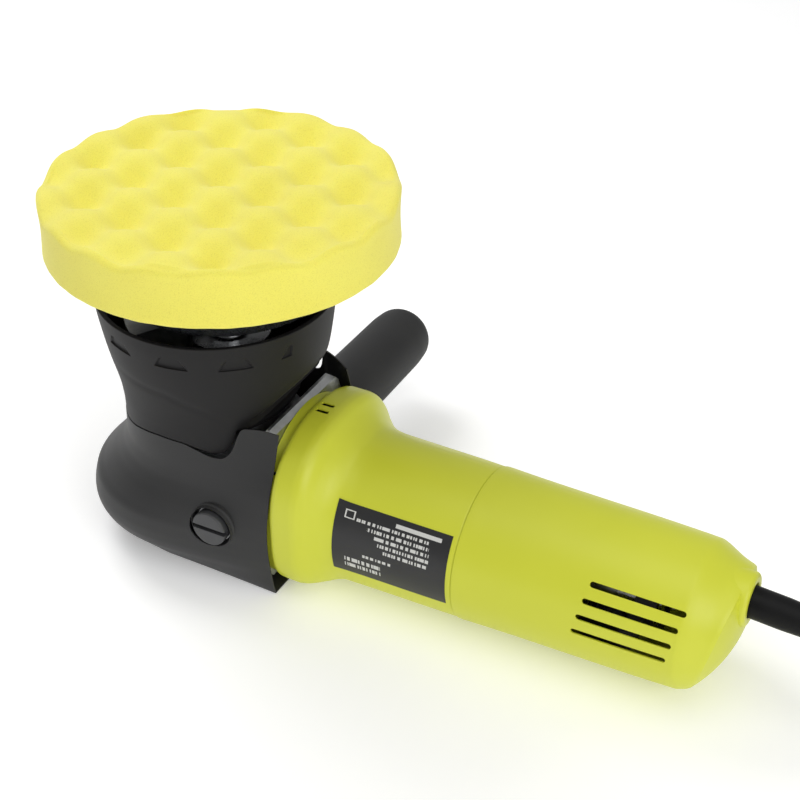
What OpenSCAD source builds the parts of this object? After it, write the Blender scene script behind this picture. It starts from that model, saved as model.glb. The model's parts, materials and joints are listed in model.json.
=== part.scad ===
// Dual-action (random-orbital) car polisher, pad side up.
// Origin: on the main spindle axis, in the plane that the head and barrel lie on.
// +Z points up the spindle to the pad, +X along the barrel to the cord,
// +Y to the side handle. Millimetres.

/* [Pad] */
// Diameter of the foam pad
pad_d = 150; // [136:1:156]
// Thickness of the foam, from its base to the crests of its waves
foam_t = 25.7; // [20:0.1:30]
// Orbit diameter: twice the offset of the pad axis from the spindle axis
orbit_d = 9; // [8:0.5:10]
// Diameter of the backing plate at the hook layer
plate_d = 124; // [110:1:132]

/* [Head] */
// Wall of the soft cover and the skirt
wall = 2.2; // [1.8:0.1:2.4]
// Height of the skirt's rim
rim_z = 126; // [124:0.5:127]
// Outer radius of the skirt at its rim
rim_r = 50.5; // [49:0.5:52]
// Where the open rear of the head cover ends
cover_x = 46.8; // [46:0.1:47.2]

/* [Motor] */
// Height of the barrel's axis
bar_z = 34.6; // [34.6:0.1:35]
// Radius of the barrel behind the collar
bar_r1 = 34.6; // [34.4:0.1:34.6]
// Radius of the barrel at the joint with the rear cover
bar_r2 = 33.8; // [33.6:0.1:34]
// Bore of the motor housing
bore_r = 31.4; // [31.3:0.05:31.5]
// Where the motor housing meets the rear cover
joint_x = 131; // [130.5:0.1:131.5]

/* [Gears] */
// Teeth on the pinion
pinion_n = 10; // [10:1:10]
// Teeth on the crown gear
gear_n = 40; // [40:1:40]
// Pitch radius of the crown gear
gear_r = 30; // [29.8:0.1:30.2]

/* [Side handle] */
// Diameter of the grip
grip_d = 30; // [28:0.5:34]
// Where the grip ends, measured from the middle of the tool
grip_end = 139; // [125:1:155]

/* [Cord] */
// Diameter of the mains cord
cord_d = 8; // [7:0.5:8]
// Mean diameter of the stored coil
coil_d = 98; // [90:1:100]

/* [Hidden] */
$fn = 64;
fit = 0.05;                    // radial clearance of a running fit
pad_x = orbit_d / 2;           // pad axis
cyl_x = 22;                  // side handle axis
cyl_z = 36;
plate_z = 127;                 // underside of the backing plate
hook_z = 148.7;
foam_z = 151.3;

// ---- helpers ----
module along_x(x = 0) { translate([x, 0, bar_z]) rotate([0, 90, 0]) children(); }
module along_y(y = 0) { translate([cyl_x, y, cyl_z]) rotate([-90, 0, 0]) children(); }
module on_pad(z = 0) { translate([pad_x, 0, z]) children(); }
module ring(ro, ri, h) { difference() { cylinder(r = ro, h = h); translate([0, 0, -1]) cylinder(r = ri, h = h + 2); } }
module bearing(ro, ri, h) {
    ring(ro, ri, h);
}
// A prism along Y from a drawing in X and Z
module side_prism(points, half = 70) {
    translate([0, half, 0]) rotate([90, 0, 0]) linear_extrude(2 * half) polygon(points);
}
// Closed solid through a list of closed outlines that have the same number of points
module loft(rows) {
    n = len(rows[0]);
    m = len(rows);
    polyhedron(
        points = [for (r = rows) for (p = r) p],
        faces = concat(
            [[for (i = [0:n - 1]) i]],
            [for (k = [0:m - 2]) for (i = [0:n - 1])
                [k * n + i, (k + 1) * n + i, (k + 1) * n + (i + 1) % n, k * n + (i + 1) % n]],
            [[for (i = [n - 1:-1:0]) (m - 1) * n + i]]));
}

// ---- head cover ----
// Height, nose radius, how far forward the nose's centre lies, half-width at the rear rim
HEAD = [[0, 36.2, 8.6, 37.4], [2, 37.9, 9.1, 38.2], [5, 40.4, 9.7, 39], [10, 44.7, 10.7, 39.9],
        [17, 50.4, 11.5, 41.2], [22, 52.4, 11, 42], [27, 53, 9.9, 42.5], [32, 52.9, 8.6, 42.7],
        [37, 51.4, 5.9, 42.6], [42, 49.3, 3.8, 42], [47, 46.9, 2.4, 41], [53, 44.8, 1.2, 39.6],
        [59, 44.1, 0.2, 37.3], [66, 44, 0, 34.4], [78, 43.9, 0, 30.3], [90, 43.9, 0, 26.6]];
function outline(z, r, c, w, x1, side = 20, nose = 28) = concat(
    [for (i = [0:side - 1]) let (x = x1 - (x1 + c) * i / side, t = (x + c) / (x1 + c))
        [x, r + (w - r) * pow(t, 1.6), z]],
    [for (i = [0:nose]) let (a = 90 + 180 * i / nose) [-c + r * cos(a), r * sin(a), z]],
    [for (i = [1:side]) let (x = -c + (x1 + c) * i / side, t = (x + c) / (x1 + c))
        [x, -r - (w - r) * pow(t, 1.6), z]]);
COVER_TOP = [[-70, 67], [-30, 67.6], [-14, 71], [-3, 72.4], [6, 72.1], [17, 68.7], [20.5, 67.9],
             [23.7, 68], [27, 70], [29, 73.4], [31.2, 81], [33.2, 83], [37.5, 83.1], [50, 80],
             [60, 80], [60, 110], [-70, 110]];
module head_cover() color("#3c3c3e") difference() {
    loft([for (h = HEAD) outline(h[0], h[1], h[2], h[3], cover_x, 10, 22)]);
    loft([for (h = HEAD) outline(h[0] == 90 ? 96 : max(h[0], 0) + (h[0] < 1 ? wall : h[0] < 6 ? wall * 0.7 : 0),
        h[1] - wall, h[2], h[3] - wall, cover_x + 4, 10, 22)]);
    side_prism(COVER_TOP);
    along_y(-60) cylinder(r = 10, h = 20);
    along_y(40) cylinder(r = 9.2, h = 20);
}

// ---- skirt round the orbiting hub ----
SKIRT = [[43.7, 60], [43.8, 74], [44.1, 84], [46.5, 98], [49, 114], [50, 121], [rim_r, rim_z]];
SKIRT_LOW = [[-70, 50], [-70, 67.7], [-30, 68.3], [-14, 71.7], [-3, 73.1], [6, 72.8], [17, 69.4],
             [20.5, 68.6], [23, 69], [25.2, 71], [27, 74], [28.9, 80.8], [60, 80.8], [60, 50]];
module skirt_body(t) {
    intersection() {
        rotate_extrude($fn = 96) polygon(concat([[0, 60]], [for (p = SKIRT) [p[0] - t, p[1]]],
            [[rim_r - t, rim_z + t], [0, rim_z + t]]));
        side_prism([[-60, 50], [34 - t, 50], [34 - t, 84], [48 - t, 98], [62, 98], [62, 130], [-60, 130]]);
    }
}
module shroud() color("#3a3a3c") {
    difference() {
        intersection() { skirt_body(0); translate([0, 0, 50]) cylinder(r = 80, h = rim_z - 50); }
        difference() { skirt_body(wall); translate([0, 0, 73.1]) ring(43, 26.6, 2.2); }
        side_prism(SKIRT_LOW);
        translate([0, 0, 40]) cylinder(r = 26.6, h = 40);
        for (a = [-277.5:31:-29]) rotate([0, 0, a]) translate([rim_r - 1.5, 0, 117.4])
            rotate([90, 0, 90]) linear_extrude(4) polygon([[-7.4, -2], [-4.6, 2.6], [4.6, 2.6], [7.4, -2]]);
    }
}

// ---- gear case ----
FLANGE = [[-25, 78.4], [25, 78.4], [29.4, 74], [32, 67.5], [34.4, 61], [36, 57], [39, 45], [39.4, 30],
          [37.6, 17], [35, 8], [31, 4], [-31, 4], [-35, 8], [-37.6, 17], [-39.4, 30], [-39, 45],
          [-36, 57], [-34.4, 61], [-32, 67.5], [-29.4, 74]];
HOUSING_SCREWS = [[-30, 61], [30, 61], [-33, 14], [33, 14]];
module gear_case() color("#a9adb0") difference() {
    union() {
        translate([0, 0, 3]) cylinder(r = 31, h = 10);
        translate([0, 0, 10]) cylinder(r = 36, h = 48);
        translate([0, 0, 50]) cylinder(r = 30, h = 23);
        intersection() {
            translate([30, 0, 0]) rotate([90, 0, 90]) linear_extrude(12) polygon(FLANGE);
            side_prism([[34, 3], [42, 3], [42, 76.6], [38.4, 79], [34, 72.6]]);
        }
        along_x(20) cylinder(r = 20.4, h = 20);
        for (s = [-1, 1]) translate([cyl_x, 0, cyl_z]) rotate([90 * s, 0, 0]) {
            translate([0, 0, 14]) cylinder(r = 11, h = 28);
            translate([0, 0, 30]) cylinder(r = 8.6, h = 15.5);
        }
    }
    translate([0, 0, 36]) cylinder(r = 32.5, h = 20.6);
    translate([0, 0, 13]) cylinder(r = 9, h = 24);
    translate([0, 0, 6.5]) cylinder(r = 11.02, h = 7.5);
    translate([0, 0, 5]) cylinder(r = 6, h = 3);
    translate([0, 0, 56]) cylinder(r = 17.52, h = 13);
    translate([0, 0, 68]) cylinder(r = 26.2, h = 6);
    along_x(12) cylinder(r = 11.4, h = 22);
    along_x(33.2) cylinder(r = 15.02, h = 12);
    for (s = [-1, 1]) translate([cyl_x, 0, cyl_z]) rotate([90 * s, 0, 0]) translate([0, 0, 31]) cylinder(r = 4.05, h = 20);
    for (p = HOUSING_SCREWS) translate([30, p[0], p[1]]) rotate([0, 90, 0]) cylinder(r = 2.05, h = 20);
    for (a = [45:90:315]) rotate([0, 0, a]) translate([22, 0, 60]) cylinder(r = 1.65, h = 10);
}
module housing_screws() color("#8a8d90")
    for (p = HOUSING_SCREWS) translate([0, p[0], p[1]]) rotate([0, 90, 0]) {
        translate([0, 0, 30.6]) cylinder(r = 3.6, h = 3.4);
        translate([0, 0, 34]) cylinder(r = 2, h = 20);
    }

// ---- motor housing ----
// Outline across the barrel: half-width, height of its middle, rise to the top, fall to the
// bottom, and how square the top and bottom are (2 is round)
function oval(x, a, zc, up, dn, nu, nd, n = 56) = [for (i = [0:n - 1])
    let (t = 360 * i / n, c = cos(t), s = sin(t), e = s >= 0 ? nu : nd, q = s >= 0 ? up : dn)
        [x, a * sign(c) * pow(abs(c), 2 / e), zc + q * sign(s) * pow(abs(s), 2 / e)]];
COLLAR = [[42.2, 39.4, 36, 42.4, 33.4, 2.05, 3.4], [46.9, 39.4, 36, 42.6, 33.4, 2.05, 3.4],
          [47.3, 40.8, 40, 39.6, 38.4, 2.3, 3.4], [49.4, 42, 42, 38.1, 41, 2.4, 3.4],
          [58, 42.2, 42, 38.2, 41.2, 2.4, 3.4], [61.6, 41.2, 41.6, 37.4, 40.6, 2.4, 3.2],
          [66, 38.6, 39, 35.8, 38.4, 2.2, 2.7], [70.4, 36.4, 36.4, 35.2, 36.2, 2.05, 2.2],
          [75, 35.2, 35, 34.8, 34.9, 2, 2], [81, bar_r1, bar_z, bar_r1, bar_r1, 2, 2],
          [joint_x - 0.2, bar_r2, bar_z, bar_r2, bar_r2, 2, 2]];
module motor_housing() color("#c6cc3e") difference() {
    union() {
        difference() {
            loft([for (k = COLLAR) oval(k[0], k[1], k[2], k[3], k[4], k[5], k[6])]);
            along_x(40) cylinder(r = bore_r, h = 100);
            translate([46, 0, 41]) rotate([0, 90, 0]) cylinder(r = 33, h = 12);
            for (y = [-3.8, 1.4]) translate([50, y - 1.1, 77.6]) cube([6, 2.2, 8]);
        }
        for (s = [-1, 1]) translate([124.2, s * 28 - 4.2, bar_z - 4.5]) cube([joint_x - 124.4, 8.4, 9]);
    }
    for (p = HOUSING_SCREWS) translate([40, p[0], p[1]]) rotate([0, 90, 0]) cylinder(r = 2.05, h = 15);
    for (s = [-1, 1]) translate([120, s * 27, bar_z]) rotate([0, 90, 0]) cylinder(r = 1.65, h = 12);
}

// ---- rear cover ----
// Distance along the barrel and radius; a ball cuts the end to a shallow dome
TAIL = [[joint_x, 34.6], [joint_x + 2.5, 34.2], [227.5, 32.2], [232.5, 30.2], [238.5, 27.6], [245.5, 25.6], [252, 25]];
guard_z = 50;
module tail_body(t) {
    intersection() {
        translate([0, 0, bar_z]) rotate([0, 90, 0]) rotate_extrude($fn = 96)
            polygon(concat([[0, joint_x - t]], [for (p = TAIL) [p[1] - t, p[0] - (p[0] == joint_x ? t : 0)]], [[0, 252]]));
        union() {
            translate([191.6, 0, 44]) sphere(r = 56 - t, $fn = 96);
            along_x(100) cylinder(r = 40, h = 105);
        }
    }
}
module rear_cover() color("#c6cc3e") difference() {
    union() {
        difference() { tail_body(0); tail_body(2.6); }
        translate([224, 0, guard_z]) rotate([0, 90, 0]) cylinder(r = 11.6, h = 24.6);
        intersection() {
            tail_body(1);
            union() {
                translate([217, -40, 43]) cube([10, 80, 3.6]);
                for (s = [-1, 1]) translate([joint_x, s * 28 - 4.2, bar_z - 4.5]) cube([5, 8.4, 9]);
            }
        }
    }
    translate([217, 0, guard_z]) rotate([0, 90, 0]) cylinder(r = 9.6, h = 21.5);
    translate([235, 0, guard_z]) rotate([0, 90, 0]) cylinder(r = 7.5, h = 20);
    for (s = [-1, 1]) for (a = [-2, 11, 24, 37])
        translate([0, 0, bar_z]) rotate([s > 0 ? a : -a, 0, 0]) translate([184.8 + a * 0.11, s > 0 ? 20 : -40, -1.25]) cube([40.4, 20, 2.5]);
    translate([176, -3.6, -2]) cube([24, 7.2, 10]);
    translate([153.8, 25, bar_z - 3]) cube([15.4, 12, 6]);
    for (s = [-1, 1]) translate([120, s * 27, bar_z]) rotate([0, 90, 0]) cylinder(r = 2.05, h = 20);
    for (p = [[-13, 22], [-17, 40]]) translate([226, p[0] - 1, p[1] - 5]) cube([30, 2, 7]);
    for (s = [-1, 1]) translate([220, s * 11, 40]) cylinder(r = 1.65, h = 10);
}
module rear_cover_screws() color("#8a8d90") for (s = [-1, 1]) translate([0, s * 27, bar_z]) rotate([0, 90, 0]) {
    translate([0, 0, joint_x + 5]) cylinder(r = 3.4, h = 2.6);
    translate([0, 0, 124.5]) cylinder(r = 1.6, h = joint_x - 119.5);
}
module rating_label() color("#1d1d1f") translate([0, 0, bar_z]) rotate([0, 90, 0]) rotate([0, 0, -130])
    rotate_extrude(angle = 54, $fn = 96) label_section();
module label_section() {
    r1 = bar_r1 + (79 - 74) * 0.05;
    r2 = bar_r2 + (joint_x - 128.5) * 0.016;
    polygon([[r1 + 0.4, 76.5], [r1 + 0.7, 76.5], [r1 + 0.1, 81], [r2 + 0.35, 128.5], [r2 + 0.05, 128.5], [r1 - 0.2, 81]]);
}

// ---- side handle and the plug of the unused handle hole ----
module side_handle_grip() color("#3f3f41") along_y() difference() {
    rotate_extrude() polygon([[0, 45.6], [8.4, 45.6], [8.4, 52.2], [13.6, 52.2], [15, 53.8], [grip_d / 2, 59],
        [grip_d / 2 - 0.6, grip_end - 12], [14, grip_end - 6.6], [12, grip_end - 3], [8.6, grip_end - 0.8], [5, grip_end], [0, grip_end]]);
    translate([0, 0, 40]) cylinder(r = 4.02, h = 42);
}
module side_handle_stud() color("#b9bcbf") along_y(32) cylinder(r = 4, h = 50);
module handle_hole_plug() color("#454548") along_y() difference() {
    union() {
        translate([0, 0, -50.2]) cylinder(r = 8, h = 4.6);
        translate([0, 0, -45.6]) cylinder(r = 4, h = 13);
    }
    translate([-10, -0.9, -51]) cube([20, 1.8, 2.8]);
}

// ---- motor, fixed pieces ----
module stator_core() color("#77797c") along_x(74) ring(bore_r - 0.03, 21, 50);
module field_coils() color("#a3572b") along_x() for (z = [66, 124]) for (a = [0, 180])
    rotate([0, 0, a - 55]) rotate_extrude(angle = 110) translate([22.4, z + (z < 100 ? 0 : 0)]) square([7.6, 8]);
module brush_ring() color("#26262a") along_x(138.6) difference() {
    ring(31, 15, 3);
    for (s = [-1, 1]) translate([-4, s > 0 ? 14 : -28, -1]) cube([8, 14, 5]);
}
module brush_holders() color("#b08d3c") for (s = [-1, 1]) translate([0, 0, bar_z]) difference() {
    translate([141.6, -5, s > 0 ? 14 : -30.4]) cube([14, 10, 16.4]);
    translate([144.3, -3.3, s > 0 ? 13 : -30]) cube([8.6, 6.6, 17]);
}
module brush(s) color("#3a3a3a") translate([144.6, -3, s > 0 ? bar_z + 12.06 : bar_z - 21.06]) cube([8, 6, 9]);
module spring(s) color("#9fa3a7") translate([148.6, 0, s > 0 ? bar_z + 21.1 : bar_z - 29.95]) ring(2.4, 1.7, 8.85);
module brush_upper() brush(1);
module brush_lower() brush(-1);
module spring_upper() spring(1);
module spring_lower() spring(-1);
module air_baffle() color("#2b2b2d") along_x(60.4) ring(bore_r - 0.03, 22, 1.8);
module rotor_front_bearing() color("#c9cccf") along_x(33.2) bearing(15, 5 + fit, 8.6);
module rotor_rear_bearing() color("#c9cccf") along_x(205) bearing(11, 4 + fit, 7);
module rear_bearing_bracket() color("#2b2b2d") along_x(203.6) difference() {
    union() {
        cylinder(r = 14, h = 9.4);
        intersection() {
            cylinder(r = 29.9, h = 6);
            union() for (a = [0, 120, 240]) rotate([0, 0, a - 90]) translate([8, -4, 0]) cube([30, 8, 6]);
        }
    }
    translate([0, 0, 1.4]) cylinder(r = 11.02, h = 10);
    translate([0, 0, -1]) cylinder(r = 6.4, h = 10);
}
module spindle_lower_bearing() color("#c9cccf") translate([0, 0, 6.6]) bearing(11, 4 + fit, 7);
module spindle_upper_bearing() color("#c9cccf") translate([0, 0, 57]) bearing(17.5, 7.5 + fit, 11);
module bearing_retainer() color("#9a9da0") difference() {
    translate([0, 0, 68]) ring(26, 13, 2.6);
    for (a = [45:90:315]) rotate([0, 0, a]) translate([22, 0, 60]) cylinder(r = 1.7, h = 20);
}
module retainer_screws() color("#8a8d90") for (a = [45:90:315]) rotate([0, 0, a]) translate([22, 0, 0]) {
    translate([0, 0, 70.6]) cylinder(r = 3, h = 2);
    translate([0, 0, 61]) cylinder(r = 1.6, h = 9.6);
}
DIAL = [188, 0, 11.9];
module speed_module() color("#2e5b3a") {
    translate([178, 5.2, 9.4]) cube([20, 1.8, 13]);
    translate(DIAL) rotate([-90, 0, 0]) translate([0, 0, 7]) cylinder(r = 5, h = 4);
    translate(DIAL) rotate([-90, 0, 0]) translate([0, 0, -3.2]) cylinder(r = 2, h = 8.6);
}
module speed_dial() color("#2a2a2c") translate(DIAL) rotate([-90, 0, 0]) difference() {
    translate([0, 0, -3]) cylinder(r = 11, h = 6);
    translate([0, 0, -4]) cylinder(r = 2 + fit, h = 8);
    for (a = [0:18:359]) rotate([0, 0, a]) translate([11.1, 0, -4]) cylinder(r = 0.6, h = 8, $fn = 16);
}
module switch_body() color("#29292b") translate([156, 13, bar_z - 7]) cube([22, 13, 14]);
module switch_button() color("#242426") {
    translate([156, 26.2, bar_z - 2.4]) cube([4, 8.4, 4.8]);
    translate([0, 0, bar_z]) difference() {
        hull() for (x = [153.5, 166.5]) translate([x, 34, 0]) rotate([-90, 0, 0]) cylinder(r = 5.5, h = 3.2, $fn = 32);
        for (x = [155:3:165]) translate([x - 0.5, 36.6, -6]) cube([1, 2, 12]);
    }
}

// ---- cord, guard and plug ----
module at_guard(s = 0) { translate([240, 0, guard_z]) rotate([0, 94, 0]) translate([0, 0, s]) children(); }
module cord_guard() color("#222224") at_guard() difference() {
    rotate_extrude() polygon([[0, -6], [9, -6], [9, -2.4], [6.8, -2.4], [6.8, 22], [5.3, 56], [0, 56]]);
    translate([0, 0, -8]) cylinder(r = cord_d / 2 + 0.02, h = 70);
}
module cord_inner() color("#202022") at_guard(-26) cylinder(r = cord_d / 2, h = 82);
module cord_clamp() color("#2c2c2e") difference() {
    translate([216, -15, 55.9]) cube([7.8, 30, 3]);
    for (s = [-1, 1]) translate([220, s * 11, 40]) cylinder(r = 1.7, h = 30);
}
module clamp_screws() color("#8a8d90") for (s = [-1, 1]) translate([220, s * 11, 0]) {
    translate([0, 0, 43.2]) cylinder(r = 1.6, h = 15.7);
    translate([0, 0, 58.9]) cylinder(r = 2.6, h = 1);
}
// A round tube through the points of a route
function unit(v) = v / norm(v);
module tube(route, r, sides = 10) {
    m = len(route);
    rings = [for (k = [0:m - 1])
        let (t = unit(route[min(k + 1, m - 1)] - route[max(k - 1, 0)]), s = unit(cross([0, 0, 1], t)), u = cross(t, s))
            [for (i = [0:sides - 1]) route[k] + r * (cos(360 * i / sides) * s + sin(360 * i / sides) * u)]];
    loft([for (k = [m - 1:-1:0]) rings[k]]);
}
CORD_ROUTE = [[295.9, 0, 46.1], [303, 0, 45.3], [312, 0, 43.4], [321, -0.4, 40.2], [330, -0.8, 35.6],
              [338, -1.2, 30.2], [346, -1.7, 24], [354, -2.2, 17.8], [362, -2.7, 12.2], [371, -3.2, 7.6],
              [381, -3.7, 4.8], [391, -4, 4.1]];
END_ROUTE = [[392, 132, 12.2], [383, 132, 12.2], [373, 132.2, 11.9], [364, 132.6, 11.3], [356, 133, 10.7],
             [348, 133.2, 10.3], [341, 133.2, 10.05], [336, 133.2, 10]];
coil_c = [392, 64];
module power_cord() color("#202022") tube(CORD_ROUTE, cord_d / 2);
module cord_end() color("#202022") tube(END_ROUTE, cord_d / 2);
module cord_coil() color("#202022") translate([coil_c[0], coil_c[1], 0.1])
    rotate_extrude() translate([coil_d / 2, 8.15]) offset(r = 4, $fn = 24) square([38, 8.1], center = true);
PLUG = [336, 133.2, 10];
module mains_plug() color("#1f1f21") translate(PLUG) rotate([0, -90, 0]) {
    difference() {
        rotate_extrude() polygon([[0, 0], [5.6, 0], [7.6, 22], [0, 22]]);
        translate([0, 0, -1]) cylinder(r = 0.6, h = 2);
    }
    translate([-9.8, 0, 0]) rotate([0, 90, 0]) linear_extrude(19.6)
        polygon([[-22, -9], [-25, -15.5], [-33, -18.4], [-56, -18.4], [-58, -16.6], [-58, 16.6], [-56, 18.4], [-33, 18.4], [-25, 15.5], [-22, 9]]);
}
module plug_pins() color("#c8cacc") translate(PLUG) rotate([0, -90, 0]) for (s = [-1, 1]) translate([0, s * 9.5, 58]) cylinder(r = 2.4, h = 19);

// ---- rotor ----
module armature_shaft() color("#b9bcbf") along_x() {
    translate([0, 0, 17]) cylinder(r = 3, h = 16);
    translate([0, 0, 33]) cylinder(r = 5, h = 170);
    translate([0, 0, 203]) cylinder(r = 4, h = 9.6);
}
module armature_core() color("#6f7174") along_x(74) difference() {
    ring(20, 5.01, 50);
    for (a = [0:30:359]) rotate([0, 0, a]) translate([17, -0.9, -1]) cube([5, 1.8, 52]);
}
module armature_windings() color("#b5622f") along_x() for (z = [64.4, 124]) translate([0, 0, z])
    rotate_extrude() polygon([[5.01, 0], [16, 0], [18, 2], [18, 7.6], [16, 9.6], [5.01, 9.6]]);
module commutator() color("#b87333") along_x(141) difference() {
    ring(12, 5.01, 17);
    for (a = [7.5:15:359]) rotate([0, 0, a]) translate([11, -0.25, 1.6]) cube([2, 0.5, 16]);
}
module cooling_fan() color("#dadada") along_x(46) {
    ring(28, 5.01, 2);
    translate([0, 0, 2]) ring(9, 5.01, 9);
    for (a = [0:30:359]) rotate([0, 0, a]) translate([12, -0.8, 1.5]) cube([15.6, 1.6, 9.5]);
}
// Straight-toothed bevel wheel with its apex at the origin and its axis along +Z.
// rho1, rho2: slant distances of the small and large ends; cone: pitch angle;
// up: +1 for teeth that lean away from the axis, -1 towards it.
module bevel_teeth(n, cone, rho1, rho2, tip, root, back, turn) {
    w = 360 / n;
    stations = [for (k = [0:n - 1]) for (j = [[-0.33, root], [-0.12, tip], [0.12, tip], [0.33, root]])
        [turn + (k + j[0]) * w, j[1]]];
    m = len(stations);
    function at(rho, a, phi) = rho * [sin(a) * cos(phi), sin(a) * sin(phi), cos(a)];
    points = [for (s = stations) each [at(rho2, s[1], s[0]), at(rho1, s[1], s[0]), at(rho1, back, s[0]), at(rho2, back, s[0])]];
    flip = back < root ? 1 : 0;
    polyhedron(points = points, faces = [for (k = [0:m - 1]) for (i = [0:3])
        let (a = 4 * k + i, b = 4 * k + (i + 1) % 4, c = 4 * ((k + 1) % m) + (i + 1) % 4, d = 4 * ((k + 1) % m) + i)
            flip == 1 ? [d, c, b, a] : [a, b, c, d]], convexity = 8);
}
pitch_p = atan(pinion_n / gear_n);
rho = gear_r / cos(pitch_p);
module bevel_pinion() color("#8f9295") along_x() difference() {
    union() {
        bevel_teeth(pinion_n, pitch_p, rho - 7.6, rho, pitch_p + 2.5, pitch_p - 3, 5, 180);
        rotate_extrude() polygon([[0, 22.9], [3.9, 22.9], [5, 29.4], [5, 30.7], [7.4, 31.3], [7.4, 32.8], [0, 32.8]]);
    }
    translate([0, 0, 10]) cylinder(r = 3.01, h = 30);
}
module pinion_nut() color("#b9bcbf") along_x(17.8) difference() {
    cylinder(r = 5.2, h = 4.4, $fn = 6);
    translate([0, 0, -1]) cylinder(r = 3.01, h = 8);
}

// ---- orbiting body: main spindle, crown gear, eccentric hub ----
module output_shaft() color("#b9bcbf") {
    translate([0, 0, 6]) cylinder(r = 4, h = 8);
    translate([0, 0, 14]) cylinder(r = 7.5, h = 67);
}
module bevel_gear() color("#8f9295") difference() {
    union() {
        translate([0, 0, bar_z]) bevel_teeth(gear_n, 90 - pitch_p, rho - 8, rho, 90 - pitch_p + 2.5, 90 - pitch_p - 3, 66, 360 / gear_n / 2);
        rotate_extrude($fn = 96) polygon([[0, 45], [21.6, 44], [22.6, 44.2], [29.4, 46.4], [28.9, 48.8], [14, 51], [14, 56.4], [0, 56.4]]);
    }
    translate([0, 0, 20]) cylinder(r = 7.51, h = 50);
}
module eccentric_hub() color("#8c8f92") difference() {
    union() {
        translate([0, 0, 75.4]) cylinder(r = 24, h = 7);
        on_pad(80) cylinder(r = 18.5, h = 26);
    }
    translate([0, 0, 70]) cylinder(r = 7.51, h = 11);
    on_pad(82.4) cylinder(r = 14.02, h = 30);
}
module counterweight() color("#5b5e61") difference() {
    translate([0, 0, 99]) intersection() {
        cylinder(r = 41, h = 15);
        linear_extrude(15) polygon([[0, 0], [-40, 70], [-90, 70], [-90, -70], [-40, -70]]);
    }
    on_pad(90) cylinder(r = 18.52, h = 20);
    on_pad(90) cylinder(r = 16, h = 40);
    for (s = [-1, 1]) translate([-27, s * 12, 90]) cylinder(r = 2.05, h = 40);
}
module counterweight_screws() color("#8a8d90") for (s = [-1, 1]) translate([-27, s * 12, 0]) {
    translate([0, 0, 114]) cylinder(r = 3.5, h = 2.4);
    translate([0, 0, 99.5]) cylinder(r = 2, h = 14.5);
}
module pad_bearings() color("#c9cccf") on_pad() for (z = [82.6, 97.4]) translate([0, 0, z]) bearing(14, 6 + fit, 8);

// ---- pad body: turns freely on the orbiting hub ----
module pad_spindle() color("#b9bcbf") on_pad() difference() {
    union() {
        translate([0, 0, 83]) cylinder(r = 6, h = 24);
        translate([0, 0, 106.4]) cylinder(r = 9, h = plate_z - 106.4);
    }
    translate([0, 0, 108]) cylinder(r = 4.02, h = 30);
}
module backing_plate() color("#26282b") on_pad() difference() {
    rotate_extrude($fn = 96) polygon([[0, plate_z], [30, plate_z], [45.5, 130], [plate_d / 2 - 1, 144.6], [plate_d / 2, 147], [plate_d / 2, hook_z], [0, hook_z]]);
    translate([0, 0, 120]) cylinder(r = 4.02, h = 20);
    translate([0, 0, 134]) cylinder(r = 12, h = 30);
}
module pad_bolt() color("#b9bcbf") on_pad() difference() {
    union() {
        translate([0, 0, 110]) cylinder(r = 4, h = 24);
        translate([0, 0, 134]) cylinder(r = 6.6, h = 6.5);
    }
    translate([0, 0, 136]) cylinder(r = 3.2, h = 8, $fn = 6);
}
module hook_layer() color("#1f1f21") on_pad(hook_z) ring(plate_d / 2 - 0.5, 12, 1.2);
module loop_backing() color("#e9e6c8") on_pad(hook_z + 1.2) cylinder(r = pad_d / 2 - 4, h = foam_z - hook_z - 1.2);
module foam_pad() color("#ece457") on_pad() rotate_extrude($fn = 96)
    polygon([[0, foam_z], [pad_d / 2 - 1, foam_z], [pad_d / 2, foam_z + 4], [pad_d / 2, foam_z + foam_t - 9], [pad_d / 2 - 3, foam_z + foam_t - 3],
        [pad_d / 2 - 9, foam_z + foam_t], [0, foam_z + foam_t]]);

head_cover();
shroud();
gear_case();
housing_screws();
motor_housing();
rear_cover();
rear_cover_screws();
rating_label();
side_handle_grip();
side_handle_stud();
handle_hole_plug();
stator_core();
field_coils();
brush_ring();
brush_holders();
air_baffle();
rotor_front_bearing();
rotor_rear_bearing();
rear_bearing_bracket();
spindle_lower_bearing();
spindle_upper_bearing();
bearing_retainer();
retainer_screws();
speed_module();
switch_body();
cord_guard();
cord_clamp();
clamp_screws();
cord_inner();
power_cord();
cord_coil();
cord_end();
mains_plug();
plug_pins();
armature_shaft();
armature_core();
armature_windings();
commutator();
cooling_fan();
bevel_pinion();
pinion_nut();
output_shaft();
bevel_gear();
eccentric_hub();
counterweight();
counterweight_screws();
pad_bearings();
pad_spindle();
backing_plate();
pad_bolt();
hook_layer();
loop_backing();
foam_pad();
speed_dial();
switch_button();
brush_upper();
brush_lower();
spring_upper();
spring_lower();
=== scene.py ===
# %% [markdown]
# # A dual-action polisher, lying on its back with the foam pad up
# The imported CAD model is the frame: every CAD part is already in place, in metres. This
# notebook gives the parts their finishes, and swaps the coarse outer skins for smooth
# ones worked out from the same measurements. All the tables below are in millimetres, as
# on a workshop drawing, and one constant turns them into metres.

# %% Load the frame
import json
import math

import bmesh
import bpy
import numpy as np
from mathutils import Matrix, Vector


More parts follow.
